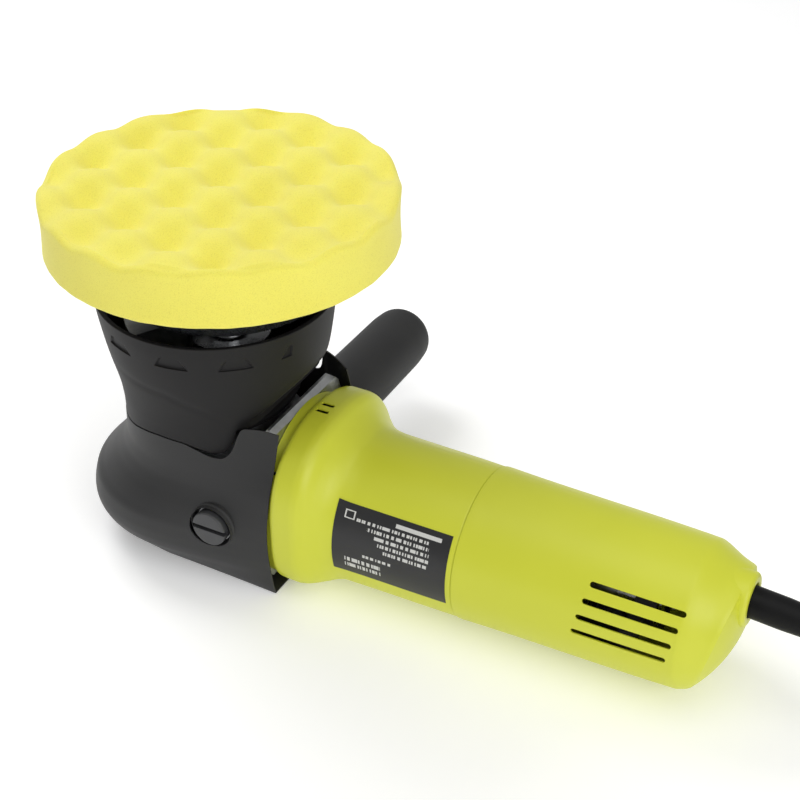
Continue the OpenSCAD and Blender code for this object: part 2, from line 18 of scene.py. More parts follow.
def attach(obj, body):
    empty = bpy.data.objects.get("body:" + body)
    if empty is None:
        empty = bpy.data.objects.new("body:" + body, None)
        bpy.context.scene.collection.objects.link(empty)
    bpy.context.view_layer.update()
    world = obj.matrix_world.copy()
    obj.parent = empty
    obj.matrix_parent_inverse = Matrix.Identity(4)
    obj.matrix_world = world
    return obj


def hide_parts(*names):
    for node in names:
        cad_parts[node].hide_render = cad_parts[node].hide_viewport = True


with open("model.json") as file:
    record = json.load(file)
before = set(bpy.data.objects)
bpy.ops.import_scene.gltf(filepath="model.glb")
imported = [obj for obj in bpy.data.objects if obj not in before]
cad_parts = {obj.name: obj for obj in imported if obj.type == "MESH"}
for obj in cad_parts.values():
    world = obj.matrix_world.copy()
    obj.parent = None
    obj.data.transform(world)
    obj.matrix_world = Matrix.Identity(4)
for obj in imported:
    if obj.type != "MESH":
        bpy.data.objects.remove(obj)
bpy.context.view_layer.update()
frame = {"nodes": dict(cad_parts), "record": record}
MM = 0.001

# %% [markdown]
# ## The camera
# The camera comes first. Three direction vectors (right, up, back) describe how it is
# turned. Putting them into a matrix is easier to read than three angles, and it can't flip
# over.

# %% Place the camera
AZIMUTH, ELEVATION, ROLL = np.radians([27.683, 34.232, 0.361])
CAMERA_AT = (363.03, -522.57, 496.72)
back = np.array([math.sin(AZIMUTH) * math.cos(ELEVATION),
                 -math.cos(AZIMUTH) * math.cos(ELEVATION), math.sin(ELEVATION)])
level = np.array([math.cos(AZIMUTH), math.sin(AZIMUTH), 0.0])
upward = np.cross(back, level)
right = level * math.cos(ROLL) + upward * math.sin(ROLL)
upward = np.cross(back, right)
lens = bpy.data.cameras.new("studio_camera")
lens.sensor_width, lens.lens = 36.0, 76.5
lens.clip_start, lens.clip_end = 0.01, 20.0
camera = bpy.data.objects.new("studio_camera", lens)
bpy.context.scene.collection.objects.link(camera)
camera.matrix_world = (Matrix.Translation(Vector(CAMERA_AT) * MM)
                       @ Matrix(np.stack([right, upward, back], 1).tolist()).to_4x4())
bpy.context.scene.camera = camera
bpy.context.scene.view_settings.view_transform = "Standard"
print("camera looks along", (-back).round(3))

# %% [markdown]
# ## Smooth curves through a table
# A moulder draws a shell through a few stations. Here a table of stations becomes a
# smooth curve of Hermite pieces, whose slopes are limited so that the curve never swings
# past a station. That keeps a straight stretch straight, which a plain spline wouldn't.

# %% Smooth tables
def smooth(x, table):
    """Values between the rows of a table whose first column grows: on each interval
    v = h00 v0 + h10 d m0 + h01 v1 + h11 d m1, with each slope m the harmonic mean of the
    two neighbouring slopes, or zero where they differ in sign."""
    t = np.asarray(table, float)
    k, v = t[:, 0], t[:, 1:]
    d = np.diff(k)[:, None]
    s = np.diff(v, axis=0) / d
    same = s[:-1] * s[1:] > 0
    m = np.zeros_like(v)
    total = np.where(same, s[:-1] + s[1:], 1.0)
    m[1:-1] = np.where(same, 2 * s[:-1] * s[1:] / total, 0.0)
    m[0], m[-1] = s[0], s[-1]
    x = np.clip(np.asarray(x, float), k[0], k[-1])
    i = np.clip(np.searchsorted(k, x, side="right") - 1, 0, len(k) - 2)
    u = ((x - k[i]) / d[i, 0])[..., None]
    return (v[i] * (2 * u**3 - 3 * u**2 + 1) + v[i + 1] * (3 * u**2 - 2 * u**3)
            + d[i] * (m[i] * (u**3 - 2 * u**2 + u) + m[i + 1] * (u**3 - u**2)))


print("a limited slope stays between its stations:", smooth([5.0], [[0, 0], [10, 2]]))

# %% [markdown]
# ## From a grid to an object
# Most skins here are a grid of points: rows go along the piece and columns go round it.
# Points that meet, at a pole or a seam, are joined, so that the skin is closed and its
# faces can be turned outwards.

# %% Grids to objects
def quads(rows, cols, wrap=True):
    """Corner numbers of the four-sided faces between neighbouring rows and columns of a
    grid; wrap joins the last column to the first."""
    r, c = np.meshgrid(np.arange(rows - 1), np.arange(cols if wrap else cols - 1),
                       indexing="ij")
    n = (c + 1) % cols
    return np.stack([r * cols + c, r * cols + n, (r + 1) * cols + n,
                     (r + 1) * cols + c], -1).reshape(-1, 4)


def soften(mesh, angle=30.0):
    """Smooth shading, with an edge kept sharp where its two faces turn further."""
    mesh.shade_smooth()
    mesh.set_sharp_from_angle(angle=math.radians(angle))


def merged(mesh, gap=0.004):
    """Joins points that lie together and turns every face outwards."""
    bm = bmesh.new()
    bm.from_mesh(mesh)
    bmesh.ops.remove_doubles(bm, verts=bm.verts, dist=gap * MM)
    bmesh.ops.dissolve_degenerate(bm, edges=bm.edges, dist=gap * MM / 4)
    bmesh.ops.recalc_face_normals(bm, faces=bm.faces)
    bm.to_mesh(mesh)
    bm.free()


def skin(name, grids, angle=30.0):
    """One object from grids of points in millimetres, each (rows, columns, 3), or
    (grid, wrap). Points that meet are joined, so poles and seams are closed."""
    points, faces, start = [], [], 0
    for grid in grids:
        grid, wrap = grid if isinstance(grid, tuple) else (grid, True)
        faces.append(quads(grid.shape[0], grid.shape[1], wrap) + start)
        points.append(grid.reshape(-1, 3))
        start += points[-1].shape[0]
    mesh = bpy.data.meshes.new(name)
    mesh.from_pydata((np.concatenate(points) * MM).tolist(), [],
                     np.concatenate(faces).tolist())
    merged(mesh)
    soften(mesh, angle)
    piece = bpy.data.objects.new(name, mesh)
    bpy.context.scene.collection.objects.link(piece)
    return piece


print("faces of a 3 by 4 ring grid:", len(quads(3, 4)))

# %% [markdown]
# ## Walls and cuts
# A shell could be modelled twice, inside and out. Solidify does that from the outer skin
# alone, and a boolean then cuts the openings. Both are turned into plain mesh at once, so
# that nothing is left live.

# %% Walls and cuts
def settled(piece, angle=30.0):
    """The piece with its modifiers turned into plain mesh."""
    view = bpy.context.evaluated_depsgraph_get()
    mesh = bpy.data.meshes.new_from_object(piece.evaluated_get(view))
    piece.modifiers.clear()
    piece.data = mesh
    mesh.name = piece.name
    soften(mesh, angle)
    return piece


def walled(piece, wall, angle=30.0):
    """Gives an open skin a wall that grows inwards, in millimetres."""
    m = piece.modifiers.new("wall", "SOLIDIFY")
    m.thickness, m.offset, m.use_even_offset = wall * MM, -1.0, True
    m.thickness_clamp = 1.0
    return settled(piece, angle)


def cut(piece, cutter, operation="DIFFERENCE", angle=30.0):
    """Takes the cutter's shape out of the piece, or joins it on, and drops the cutter."""
    m = piece.modifiers.new("cut", "BOOLEAN")
    m.object, m.operation, m.solver = cutter, operation, "EXACT"
    settled(piece, angle)
    bpy.data.objects.remove(cutter)
    return piece


# %% [markdown]
# ## Lathe shapes
# Round parts are a profile turned about an axis. A sharp corner catches no light, so each
# corner of a profile is eased by a short arc first, as a real edge is.

# %% Lathe shapes
def turned(profile, turns=96, axis="x", at=(0, 0, 0)):
    """A lathe grid: each (along, radius) of the profile goes once round the axis."""
    p = np.asarray(profile, float)
    a = np.linspace(0, 2 * np.pi, turns, endpoint=False)
    along, c, s = (np.broadcast_to(v, (len(p), turns)) for v in
                   (p[:, :1], p[:, 1:] * np.cos(a), p[:, 1:] * np.sin(a)))
    order = {"x": (along, c, s), "y": (s, along, c), "z": (c, s, along)}[axis]
    return np.stack(order, -1) + np.array(at, float)


def rounded(corners, radius=0.6, steps=4):
    """A profile with each inner corner replaced by a short arc: points of a quadratic
    Bezier curve that leaves and meets the two sides at the given distance."""
    p = np.asarray(corners, float)
    out = [p[:1]]
    for a, b, c in zip(p[:-2], p[1:-1], p[2:]):
        reach = [min(radius, 0.45 * np.hypot(*(q - b))) for q in (a, c)]
        s, e = (b + (q - b) / max(np.hypot(*(q - b)), 1e-9) * k
                for q, k in zip((a, c), reach))
        t = np.linspace(0, 1, steps + 1)[:, None]
        out.append((1 - t) ** 2 * s + 2 * t * (1 - t) * b + t**2 * e)
    return np.concatenate([*out, p[-1:]])


print("a square corner becomes", len(rounded([(0, 0), (0, 5), (5, 5)])), "points")

# %% [markdown]
# ## Finishes
# A moulded plastic, a rubber and a casting differ mostly in how rough they are and in the
# size of their grain. One node group makes the grain: two noises on Object coordinates,
# which stay still on the piece because every piece's origin is at zero. It gives back a
# normal and two masks, and the shader itself stays in each material, where an exporter
# can find it.

# %% A node group for grain
def wire(tree, source, target):
    tree.links.new(source, target)


def grain_group():
    """Masks and a normal from two noises: Coarse for slow patches, Fine for the grain."""
    g = bpy.data.node_groups.new("surface_grain", "ShaderNodeTree")
    face = g.interface
    for name, value in (("Coarse scale", 30.0), ("Fine scale", 2500.0),
                        ("Strength", 0.2), ("Height", 0.0001)):
        face.new_socket(name, in_out="INPUT", socket_type="NodeSocketFloat").default_value = value
    for name, kind in (("Coarse", "NodeSocketFloat"), ("Fine", "NodeSocketFloat"),
                       ("Normal", "NodeSocketVector")):
        face.new_socket(name, in_out="OUTPUT", socket_type=kind)
    n = g.nodes
    start, end = n.new("NodeGroupInput"), n.new("NodeGroupOutput")
    where = n.new("ShaderNodeTexCoord")
    coarse, fine, bump = (n.new(k) for k in ("ShaderNodeTexNoise", "ShaderNodeTexNoise",
                                            "ShaderNodeBump"))
    coarse.inputs["Detail"].default_value = 3.0
    fine.inputs["Detail"].default_value = 2.0
    for noise, scale, mask in ((coarse, "Coarse scale", "Coarse"),
                               (fine, "Fine scale", "Fine")):
        wire(g, where.outputs["Object"], noise.inputs["Vector"])
        wire(g, start.outputs[scale], noise.inputs["Scale"])
        wire(g, noise.outputs["Fac"], end.inputs[mask])
    wire(g, fine.outputs["Fac"], bump.inputs["Height"])
    wire(g, start.outputs["Strength"], bump.inputs["Strength"])
    wire(g, start.outputs["Height"], bump.inputs["Distance"])
    wire(g, bump.outputs["Normal"], end.inputs["Normal"])
    return g


GRAIN = grain_group()
FINISH = {}
print("grain group has", len(GRAIN.nodes), "nodes")

# %% [markdown]
# ## One recipe for every finish
# A finish has two close colours and two roughnesses, mixed by the slow noise, and the
# fine noise as its grain. Anything else, such as a coat, is set on the shader's own
# sockets.

# %% The recipe
def ramp(tree, mask, low, high, start=0.3, end=0.7):
    """A colour or grey that goes from low to high as the mask goes from start to end."""
    node = tree.nodes.new("ShaderNodeValToRGB")
    node.color_ramp.elements[0].position, node.color_ramp.elements[1].position = start, end
    for element, value in zip(node.color_ramp.elements, (low, high)):
        value = (value,) * 3 if isinstance(value, float) else value
        element.color = (*value, 1.0)
    wire(tree, mask, node.inputs["Fac"])
    return node.outputs["Color"]


def finish(slot, low, high, rough, metal=0.0, coarse=30.0, fine=2500.0, strength=0.2,
           height=0.0001, **sockets):
    """A material for a slot: two close colours mixed by the slow noise, roughness from
    rough[0] to rough[1] by the same noise, and the fine noise as its grain."""
    m = bpy.data.materials.new(slot)
    m.use_nodes = True
    tree = m.node_tree
    shader = tree.nodes["Principled BSDF"]
    grain = tree.nodes.new("ShaderNodeGroup")
    grain.node_tree = GRAIN
    for name, value in zip(("Coarse scale", "Fine scale", "Strength", "Height"),
                           (coarse, fine, strength, height)):
        grain.inputs[name].default_value = value
    wire(tree, ramp(tree, grain.outputs["Coarse"], low, high), shader.inputs["Base Color"])
    wire(tree, ramp(tree, grain.outputs["Coarse"], rough[0], rough[1]),
         shader.inputs["Roughness"])
    wire(tree, grain.outputs["Normal"], shader.inputs["Normal"])
    shader.inputs["Metallic"].default_value = metal
    for name, value in sockets.items():
        shader.inputs[name.replace("_", " ")].default_value = value
    m.diffuse_color = (*high, 1.0)
    FINISH[slot] = m
    return m


# %% [markdown]
# ## One finish for each slot of the record
# The colours are linear values. Black plastic is never zero: a soft-touch coat sends back
# about four per cent of the light, and a rubber cord about two. The yellow-green housing
# is a satin plastic, so its roughness sits in the middle and its grain is very fine.

# %% Plastics and rubbers
finish("soft_black", (0.024, 0.024, 0.0245), (0.030, 0.030, 0.0305), (0.47, 0.56),
       coarse=22, fine=4200, strength=0.10, Specular_IOR_Level=0.32)
finish("skirt_black", (0.0105, 0.010, 0.0105), (0.015, 0.0145, 0.015), (0.50, 0.60),
       coarse=22, fine=4200, strength=0.10, Specular_IOR_Level=0.22)
finish("grip_black", (0.021, 0.021, 0.0215), (0.027, 0.027, 0.0275), (0.58, 0.68),
       coarse=40, fine=1500, strength=0.45, Specular_IOR_Level=0.3)
finish("screw_black", (0.035, 0.036, 0.038), (0.048, 0.049, 0.052), (0.36, 0.46),
       coarse=90, fine=3000, strength=0.12)
finish("inner_black", (0.018, 0.018, 0.020), (0.028, 0.028, 0.030), (0.45, 0.55))
finish("cord_black", (0.0045, 0.0045, 0.0048), (0.007, 0.007, 0.0073), (0.42, 0.52),
       coarse=60, fine=1800, strength=0.15, Specular_IOR_Level=0.15)
finish("plate", (0.010, 0.011, 0.013), (0.018, 0.019, 0.022), (0.16, 0.26),
       coarse=60, fine=900, strength=0.08, Coat_Weight=0.2)
finish("fan", (0.62, 0.61, 0.56), (0.74, 0.73, 0.68), (0.40, 0.50))
finish("carbon", (0.020, 0.020, 0.021), (0.040, 0.040, 0.041), (0.55, 0.70),
       coarse=400, fine=3000, strength=0.4)
finish("board", (0.010, 0.060, 0.022), (0.014, 0.090, 0.032), (0.30, 0.42), coarse=300)
finish("housing_yellow", (0.600, 0.630, 0.034), (0.635, 0.665, 0.040), (0.36, 0.44),
       coarse=14, fine=3800, strength=0.06)

# %% [markdown]
# ## Metals
# A metal's colour is its reflection, so these are lighter than they look. The casting is
# the roughest, the plug's plated pins the smoothest, and the windings are only partly
# metal because enamel covers the copper.

# %% Metals
finish("cast_aluminium", (0.40, 0.41, 0.42), (0.58, 0.59, 0.60), (0.36, 0.52), metal=1.0,
       coarse=180, fine=1100, strength=0.35, height=0.0002)
finish("steel", (0.50, 0.51, 0.52), (0.60, 0.61, 0.62), (0.22, 0.32), metal=1.0,
       coarse=120, fine=2600, strength=0.15)
finish("steel_dark", (0.16, 0.165, 0.17), (0.26, 0.265, 0.27), (0.34, 0.46), metal=1.0,
       coarse=160, fine=2000)
finish("zinc_screw", (0.48, 0.48, 0.50), (0.60, 0.60, 0.61), (0.24, 0.34), metal=1.0,
       coarse=300)
finish("copper", (0.36, 0.115, 0.035), (0.52, 0.19, 0.06), (0.28, 0.40), metal=0.6,
       coarse=500, fine=1400, strength=0.5)
finish("brass", (0.50, 0.34, 0.11), (0.62, 0.44, 0.17), (0.24, 0.36), metal=1.0)
finish("pin_metal", (0.58, 0.58, 0.58), (0.70, 0.70, 0.69), (0.12, 0.22), metal=1.0)

# %% [markdown]
# ## Foam, hook and loop
# Open-cell foam is a sponge of tiny bubbles. Making each one would take millions of faces,
# so cells from a Voronoi texture dent the surface, painted shade darkens the dents a little,
# and some light passes through the skin (subsurface). The hook and loop layers are woven
# tapes: cells again, much smaller and stronger, with the same painted shade in their dents.

# %% Porous finishes
def porous(slot, low, high, rough, cells, dent, glow=0.0, reach=0.004):
    """Foam or tape: distance to the nearest cell centre dents the surface, and painted
    shade darkens the dents.
    """
    m = finish(slot, low, high, rough, coarse=26, fine=1900, strength=0.35,
               Sheen_Weight=0.15, Sheen_Roughness=0.6)
    tree = m.node_tree
    shader = tree.nodes["Principled BSDF"]
    where, cell, bump = (tree.nodes.new(k) for k in
                         ("ShaderNodeTexCoord", "ShaderNodeTexVoronoi", "ShaderNodeBump"))
    cell.inputs["Scale"].default_value = cells
    bump.inputs["Strength"].default_value = dent
    bump.inputs["Distance"].default_value = 0.0003
    wire(tree, where.outputs["Object"], cell.inputs["Vector"])
    wire(tree, cell.outputs["Distance"], bump.inputs["Height"])
    bump.invert = True
    grain = next(n for n in tree.nodes if n.bl_idname == "ShaderNodeGroup")
    wire(tree, grain.outputs["Normal"], bump.inputs["Normal"])
    wire(tree, bump.outputs["Normal"], shader.inputs["Normal"])
    # painted shade: the base colour is darkened and warmed in the cells' dents, where the pores
    # would lie in shade
    blend = tree.nodes.new("ShaderNodeMix")
    blend.data_type, blend.blend_type = "RGBA", "MULTIPLY"
    blend.inputs["Factor"].default_value = 1.0
    wire(tree, shader.inputs["Base Color"].links[0].from_socket, blend.inputs[6])
    wire(tree, ramp(tree, cell.outputs["Distance"], (1.0, 1.0, 1.0), (0.90, 0.89, 0.80),
                    0.45, 0.95), blend.inputs[7])
    wire(tree, blend.outputs[2], shader.inputs["Base Color"])
    shader.inputs["Subsurface Weight"].default_value = glow
    shader.inputs["Subsurface Scale"].default_value = reach
    shader.inputs["Subsurface Radius"].default_value = (1.0, 0.8, 0.2)
    return m


porous("foam", (0.86, 0.78, 0.115), (0.90, 0.83, 0.14), (0.80, 0.92), 2300, 0.16, 0.18)
porous("hook", (0.014, 0.014, 0.016), (0.024, 0.024, 0.026), (0.6, 0.8), 1400, 0.8)
porous("loop", (0.66, 0.62, 0.36), (0.76, 0.72, 0.44), (0.8, 0.95), 1800, 0.6)

# %% [markdown]
# ## Placing a piece
# Each new piece rides on a body, takes a slot's finish and hides the CAD parts that it
# stands for. One function does all three, so that no piece can miss one.

# %% Place a piece
def place(piece, body, slot, *nodes):
    """Sets what the piece rides on and its finish, and hides the CAD nodes that it stands for."""
    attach(piece, body)
    if nodes:
        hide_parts(*nodes)
    piece.data.materials.clear()
    piece.data.materials.append(FINISH[slot])
    print(f"{piece.name}: {len(piece.data.polygons)} faces, {slot}, on {body}")
    return piece


# %% [markdown]
# ## The mains cord
# The cord is a tube carried along a route. It leaves the guard, droops to the bench, and
# the spare length lies in a flat two-layer coil behind the tool. The first layer winds
# inwards and the second outwards, one diameter higher, as a cord is laid by hand. The
# free stretches are given points, and the turns are worked out.

# %% Route and coil
CORD_ROUTE = [[295.9, 0, 46.1], [303, 0, 45.3], [312, 0, 43.4], [321, -0.4, 40.2],
              [330, -0.8, 35.6], [338, -1.2, 30.2], [346, -1.7, 24], [354, -2.2, 17.8],
              [362, -2.7, 12.2], [371, -3.2, 7.6], [381, -3.7, 4.8], [391, -4, 4.1]]
END_ROUTE = [[392, 132, 12.2], [383, 132, 12.2], [373, 132.2, 11.9], [364, 132.6, 11.3],
             [356, 133, 10.7], [348, 133.2, 10.3], [341, 133.2, 10.05], [336, 133.2, 10]]
COIL_CENTRE, COIL_OUTER, CORD_D = np.array([392.0, 64.0]), 68.0, 8.0
TURNS_A_LAYER, LAYER_Z = 4.75, (4.1, 12.2)


def coil_points(per_turn=40):
    """Two flat spirals: the radius shrinks one diameter a turn in the lower layer and
    grows again in the upper one, with the climb spread over half a turn between them."""
    n = int(2 * TURNS_A_LAYER * per_turn)
    turn = np.linspace(0, 2 * TURNS_A_LAYER, n + 1)
    radius = COIL_OUTER - CORD_D * (TURNS_A_LAYER - np.abs(turn - TURNS_A_LAYER))
    lift = np.clip((turn - TURNS_A_LAYER + 0.25) / 0.5, 0, 1)
    lift = lift * lift * (3 - 2 * lift)
    a = np.radians(-90) + 2 * np.pi * turn
    z = LAYER_Z[0] + (LAYER_Z[1] - LAYER_Z[0]) * lift
    return np.stack([COIL_CENTRE[0] + radius * np.cos(a),
                     COIL_CENTRE[1] + radius * np.sin(a), z], -1)


print("coil points:", len(coil_points()))

# %% [markdown]
# ## A tube along the route
# A curve with a bevel would do, but its twist is hard to foresee on a coil. Here each
# ring is set square to the route, from the level direction and the one above it.

# %% Carry the cord along its route
PATH_STEP = 1.9


def tube_along(path, radius, sides=14):
    """A ring of points square to the path at each of its points, and a pole at each end."""
    ahead = np.gradient(path, axis=0)
    ahead /= np.linalg.norm(ahead, axis=1)[:, None]
    side = np.cross([0, 0, 1.0], ahead)
    side /= np.linalg.norm(side, axis=1)[:, None]
    over = np.cross(ahead, side)
    a = np.linspace(0, 2 * np.pi, sides, endpoint=False)[:, None]
    ring = path[:, None] + radius * (np.cos(a) * side[:, None] + np.sin(a) * over[:, None])
    ends = [np.repeat(path[i][None, None], sides, 1) for i in (0, -1)]
    return np.concatenate([ends[0], ring, ends[1]])


knots = np.concatenate([CORD_ROUTE, coil_points()[1:-1], END_ROUTE])
steps = np.concatenate([[0], np.cumsum(np.linalg.norm(np.diff(knots, axis=0), axis=1))])
cord_path = smooth(np.arange(0, steps[-1], PATH_STEP), np.column_stack([steps, knots]))
cord_path = np.concatenate([cord_path, knots[-1:]])
mains_cord = place(skin("mains_cord", [tube_along(cord_path, CORD_D / 2)]), "tool",
                   "cord_black", "power_cord", "cord_coil", "cord_end")

# %% [markdown]
# ## The waffle foam pad
# The pad is a disc of open foam whose working face is cut to an egg crate: pits on a
# square one-inch lattice, with a bump between every four of them. Two cosines added
# together give exactly that. The bumps run out over the edge, so the rim of the disc
# rises and falls with them. A cloth simulation would round the crisp side wall off, so
# the shape is worked out directly.

# %% Pad surface
PAD_AT, PAD_R, PAD_LOW, PAD_HIGH = (4.5, 0.0), 75.0, 151.3, 177.6
PITCH, CRATE_TURN, PIT_AT = 25.4, np.radians(75.3), (-4.5, 7.3)
CRATE_DEPTH, FULLNESS, FADE_FROM, FADE_BY = 8.6, 1.45, 60.0, 0.58


def crate_height(x, y):
    """Height of the working face over the pad's own centre. The cosines along the two
    lattice directions average to a wave w that is -1 in a pit and 1 on a bump, and the
    face lies the depth times ((1 - w) / 2)**1.45 under the top, so the bumps are fuller
    than the pits. Near the rim the depth fades to under half."""
    c, s = math.cos(CRATE_TURN), math.sin(CRATE_TURN)
    u = ((x - PIT_AT[0]) * c + (y - PIT_AT[1]) * s) * 2 * np.pi / PITCH
    v = (-(x - PIT_AT[0]) * s + (y - PIT_AT[1]) * c) * 2 * np.pi / PITCH
    wave = -(np.cos(u) + np.cos(v)) / 2
    rim = np.clip((np.hypot(x, y) - FADE_FROM) / (PAD_R - FADE_FROM), 0, 1)
    depth = CRATE_DEPTH * (1 - FADE_BY * rim * rim * (3 - 2 * rim))
    return PAD_HIGH - depth * (0.5 - 0.5 * wave) ** FULLNESS


print("pad centre, radius, underside, top:", PAD_AT, PAD_R, PAD_LOW, PAD_HIGH)

# %% [markdown]
# ## The pad as one closed grid
# The working face, the eased edge, the side wall and the underside are rows of one grid,
# so that the pad is closed. The lower edge is slightly ragged, as cut foam is.

# %% Build the pad
LIP, LIP_DROP, WAIST = 3.2, 2.6, 0.5


def foam_grid(around=400):
    """Rows from the middle of the face to the edge, down the side and back in below; the
    edge is rounded by a small arc, and the skin is uneven by a few tenths."""
    a = np.linspace(0, 2 * np.pi, around, endpoint=False)
    r = np.concatenate([[0.0], np.linspace(0.8, PAD_R - LIP, 92)])[:, None]
    x, y = r * np.cos(a), r * np.sin(a)
    top = np.stack([x, y, crate_height(x, y)], -1)
    edge = crate_height(PAD_R * np.cos(a), PAD_R * np.sin(a))
    q = np.radians(np.linspace(12, 90, 7))[:, None]
    arc = PAD_R - LIP + LIP * np.sin(q)
    lip = edge - LIP_DROP * (1 - np.cos(q))
    drop = np.linspace(0, 1, 17)[1:, None]
    wall_z = (edge - LIP_DROP) * (1 - drop) + (PAD_LOW + 1.0) * drop
    wall_r = PAD_R - WAIST * np.sin(np.pi * drop) + 0 * a
    under = np.array([[PAD_R - 0.5, PAD_LOW + 0.35], [PAD_R - 1.4, PAD_LOW],
                      [40.0, PAD_LOW], [0.0, PAD_LOW]])
    rr = np.concatenate([arc + 0 * a, wall_r, under[:, :1] + 0 * a])
    zz = np.concatenate([lip, wall_z, under[:, 1:] + 0 * a])
    rest = np.stack([rr * np.cos(a), rr * np.sin(a), zz], -1)
    grid = np.concatenate([top, rest])
    ragged = 0.16 * np.sin(17 * a + 2 * np.sin(5 * a)) + 0.12 * np.sin(41 * a + 1.3)
    grid[-5, :, 2] += ragged
    grid[-4, :, 2] += ragged * 0.5
    return grid + np.array([PAD_AT[0], PAD_AT[1], 0.0])


foam = place(skin("foam_pad_face", [foam_grid()], angle=60), "pad", "foam", "foam_pad")

# %% [markdown]
# ## Loop backing
# The pad is held by a woven loop disc that is glued to its back. It is a thin lathe
# shape with eased edges, just clear of the hook layer below it.

# %% Loop backing
loop = skin("loop_face", [turned(rounded([(149.95, 0), (149.95, 71), (151.25, 71),
                                          (151.25, 0)], 0.5), 160, "z", (*PAD_AT, 0))])
place(loop, "pad", "loop", "loop_backing")

# %% [markdown]
# ## The head cover
# The black cover wraps the gear head like a shoe: in plan it is a round nose with two
# sides that run back to the rim, and the plan changes with height. A grid suits it well:
# columns follow the plan outline and rows climb to the cut upper edge, so the edge is as
# clean as the outline. The underside is the same columns pulled to the centre line.

# %% Stations of the head cover
COVER_X, COVER_WALL, SETTLING_STEPS = 46.8, 2.2, 12
# Height, nose radius, how far forward the nose's centre lies, half-width at the rear rim
HEAD = [[0, 36.2, 8.6, 37.4], [2, 37.9, 9.1, 38.2], [5, 40.4, 9.7, 39], [10, 44.7, 10.7, 39.9],
        [17, 50.4, 11.5, 41.2], [22, 52.4, 11, 42], [27, 53, 9.9, 42.5], [32, 52.9, 8.6, 42.7],
        [37, 51.4, 5.9, 42.6], [42, 49.3, 3.8, 42], [47, 46.9, 2.4, 41], [53, 44.8, 1.2, 39.6],
        [59, 44.1, 0.2, 37.3], [66, 44, 0, 34.4], [78, 43.9, 0, 30.3], [90, 43.9, 0, 26.6]]
COVER_TOP = [[-70, 67], [-30, 67.6], [-23, 68.8], [-14, 71], [-3, 72.4], [6, 72.1],
             [12.5, 70.3], [17, 68.7], [20.5, 67.9], [23.7, 68], [27, 70], [29, 73.4],
             [30, 77], [31.2, 81], [32.2, 82.6], [33.6, 83.2], [37.5, 83.1], [50, 80]]


def head_outline(z, way):
    """Plan point for way 0 to 3 (side, nose, side) at height z: a side is
    y = R + (w - R) t**1.6 with t from the nose's centre line to the rim; the nose is a
    circle of radius R whose centre lies c forward."""
    radius, forward, width = np.moveaxis(smooth(z, HEAD), -1, 0)
    side = np.where(way < 1, 1.0, -1.0)
    t = np.where(way < 1, 1 - way, np.clip(way - 2, 0, 1))
    a = np.pi / 2 + np.pi * np.clip(way - 1, 0, 1)
    nose = (way >= 1) & (way <= 2)
    x = np.where(nose, -forward + radius * np.cos(a), -forward + t * (COVER_X + forward))
    y = np.where(nose, radius * np.sin(a), side * (radius + (width - radius) * t**1.6))
    return x, y


print("cover reaches y =", head_outline(np.array(32.0), np.array(1.0))[1].round(1))

# %% [markdown]
# ## Building the cover
# The cut upper edge depends on where along the cover a column stands, and that depends on
# its height, so the two are settled by turns: each step reads the edge at the last
# step's place. A dozen steps are plenty. The unused handle hole and the handle's own
# hole are then cut on the handle's axis.

# %% Build the cover
HANDLE_AT = (22, 0, 36)
way = np.concatenate([np.linspace(0, 1, 96)[:-1], np.linspace(1, 2, 120)[:-1],
                      np.linspace(2, 3, 96)])
climb = np.linspace(0, 1, 84)[:, None]
top = np.full((1, len(way)), 73.0)
for _ in range(SETTLING_STEPS):
    top = smooth(head_outline(top, way)[0], COVER_TOP)[..., 0]
heights = top * climb**1.05
x, y = head_outline(heights, np.broadcast_to(way, heights.shape))
sides = np.stack([x, y, heights], -1)
pull = np.linspace(0, 1, 12)[:-1, None]
floor_rows = np.stack([np.broadcast_to(x[0], (11, len(way))), pull * y[0],
                       np.zeros((11, len(way)))], -1)
cover = skin("head_cover_shell", [(np.concatenate([floor_rows, sides]), False)])
walled(cover, COVER_WALL)
for end, radius in ((-60.0, 10.0), (40.0, 9.2)):
    cut(cover, skin("hole", [turned([(end, 0), (end, radius), (end + 20, radius),
                                     (end + 20, 0)], 72, "y", HANDLE_AT)]))
place(cover, "tool", "soft_black", "head_cover")

# %% [markdown]
# ## The slotted plug and the cup that it sits in
# The unused handle hole has a moulded plug with a coin slot, sunk in a shallow cup. Both
# are lathe shapes; the slot is a rounded bar taken out of the plug's face.

# %% Plug and cup
plug = skin("handle_plug", [turned(rounded([(-50.6, 0), (-50.6, 8.3), (-45.4, 8.3), (-45.4, 4),
                                            (-33, 4), (-33, 0)], 0.9), 96, "y", HANDLE_AT)])
SLOT = [(-60, -1.05), (-48.1, -1.05), (-47.6, -0.6), (-47.6, 0.6), (-48.1, 1.05), (-60, 1.05),
        (-60, -1.05)]
bar = skin("bar", [np.array([[[x, depth, HANDLE_AT[2] + rise] for x in HANDLE_AT[0]
                              + np.array([-12, -12, 12, 12])] for depth, rise in SLOT])])
cut(plug, bar)
place(plug, "tool", "screw_black", "handle_hole_plug")
cup = skin("plug_cup", [turned(rounded([(-48.6, 10.0), (-48.4, 9.7), (-44.6, 9.5),
                                        (-44.6, 8.9), (-43.2, 8.9), (-43.2, 10.9),
                                        (-46.4, 10.9), (-46.9, 10.3), (-48.6, 10.0)], 0.2),
                                72, "y", HANDLE_AT)])
place(cup, "tool", "soft_black")

# %% [markdown]
# ## The skirt
# Above the head a flared rubber skirt guards the orbiting hub. It is a lathe shape with
# its back cut flat where it meets the gear case, so its radius is the smaller of the
# flare and the flat. Taking the smaller with a soft minimum rounds the corner between
# them. Tapered marks are pressed in below the rim.

